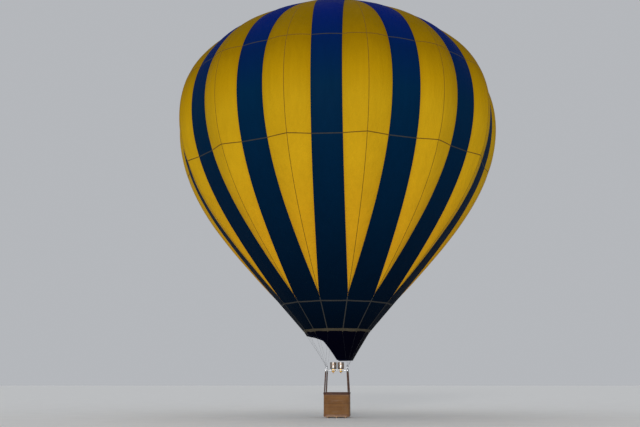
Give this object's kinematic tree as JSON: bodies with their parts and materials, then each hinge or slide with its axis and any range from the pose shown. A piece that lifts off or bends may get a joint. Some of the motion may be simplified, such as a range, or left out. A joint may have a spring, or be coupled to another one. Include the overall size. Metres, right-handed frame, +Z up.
{
  "type": "hot air balloon",
  "caption": "Hot air balloon with blue and yellow vertical gores, a crown vent, a scoop, a gimballed double burner and a wicker basket.",
  "frame": {"origin": "centre of lift inside the envelope, on its axis, 13.5 m above the underside of the basket's runners", "axes": "+Z up along the envelope's axis; -Y is the pictured front, over a blue gore; the scoop is open towards -X"},
  "size_m": [16.7388, 16.411, 21.3164],
  "materials": {
    "blue_fabric": "coated ripstop nylon, deep blue",
    "yellow_fabric": "coated ripstop nylon, golden yellow",
    "heatproof_fabric": "flameproof cloth, very dark navy",
    "webbing": "woven load tape, grey",
    "steel": "stainless steel",
    "brass": "machined brass",
    "red_plastic": "red plastic grip",
    "wicker": "woven willow and cane",
    "leather": "dark brown hide",
    "plywood": "varnished plywood",
    "aluminium": "brushed aluminium"
  },
  "bodies": {
    "envelope_and_basket": {"blue_gore_01": "blue_fabric", "blue_gore_02": "blue_fabric", "blue_gore_03": "blue_fabric", "blue_gore_04": "blue_fabric", "blue_gore_05": "blue_fabric", "blue_gore_06": "blue_fabric", "blue_gore_07": "blue_fabric", "blue_gore_08": "blue_fabric", "blue_gore_09": "blue_fabric", "blue_gore_10": "blue_fabric", "blue_gore_11": "blue_fabric", "blue_gore_12": "blue_fabric", "blue_gore_13": "blue_fabric", "blue_gore_14": "blue_fabric", "yellow_gore_01": "yellow_fabric", "yellow_gore_02": "yellow_fabric", "yellow_gore_03": "yellow_fabric", "yellow_gore_04": "yellow_fabric", "yellow_gore_05": "yellow_fabric", "yellow_gore_06": "yellow_fabric", "yellow_gore_07": "yellow_fabric", "yellow_gore_08": "yellow_fabric", "yellow_gore_09": "yellow_fabric", "yellow_gore_10": "yellow_fabric", "yellow_gore_11": "yellow_fabric", "yellow_gore_12": "yellow_fabric", "yellow_gore_13": "yellow_fabric", "yellow_gore_14": "yellow_fabric", "crown_ring_and_tapes": "webbing", "mouth_hem": "webbing", "scoop": "heatproof_fabric", "envelope_cables_front_left": "steel", "envelope_cables_front_right": "steel", "envelope_cables_back_right": "steel", "envelope_cables_back_left": "steel", "burner_frame": "steel", "upright_front_left": "leather", "upright_front_right": "leather", "upright_back_right": "leather", "upright_back_left": "leather", "basket_floor": "plywood", "basket_wall_front": "wicker", "basket_wall_right": "wicker", "basket_wall_back": "wicker", "basket_wall_left": "wicker", "basket_rim": "leather", "fuel_tank_front_left": "aluminium", "fuel_tank_front_right": "aluminium", "fuel_tank_back_right": "aluminium", "fuel_tank_back_left": "aluminium"},
    "vent": {"parachute_vent": "blue_fabric"},
    "gimbal": {"gimbal_ring": "steel"},
    "burner": {"burner_manifold": "brass", "burner_can_left": "steel", "burner_can_right": "steel", "burner_coil_left": "steel", "burner_coil_right": "steel", "blast_valve_handle_left": "red_plastic", "blast_valve_handle_right": "red_plastic"}
  },
  "joints": [
    {"name": "vent_slide", "type": "slide", "parent": "envelope_and_basket", "child": "vent", "axis": [0, 0, -1], "range_m": [0, 1.2]},
    {"name": "gimbal_tilt_x", "type": "hinge", "parent": "envelope_and_basket", "child": "gimbal", "pos_m": [0, 0, -11.2], "axis": [1, 0, 0], "range_deg": [-12, 12]},
    {"name": "gimbal_tilt_y", "type": "hinge", "parent": "gimbal", "child": "burner", "pos_m": [0, 0, -11.2], "axis": [0, 1, 0], "range_deg": [-12, 12]}
  ]
}
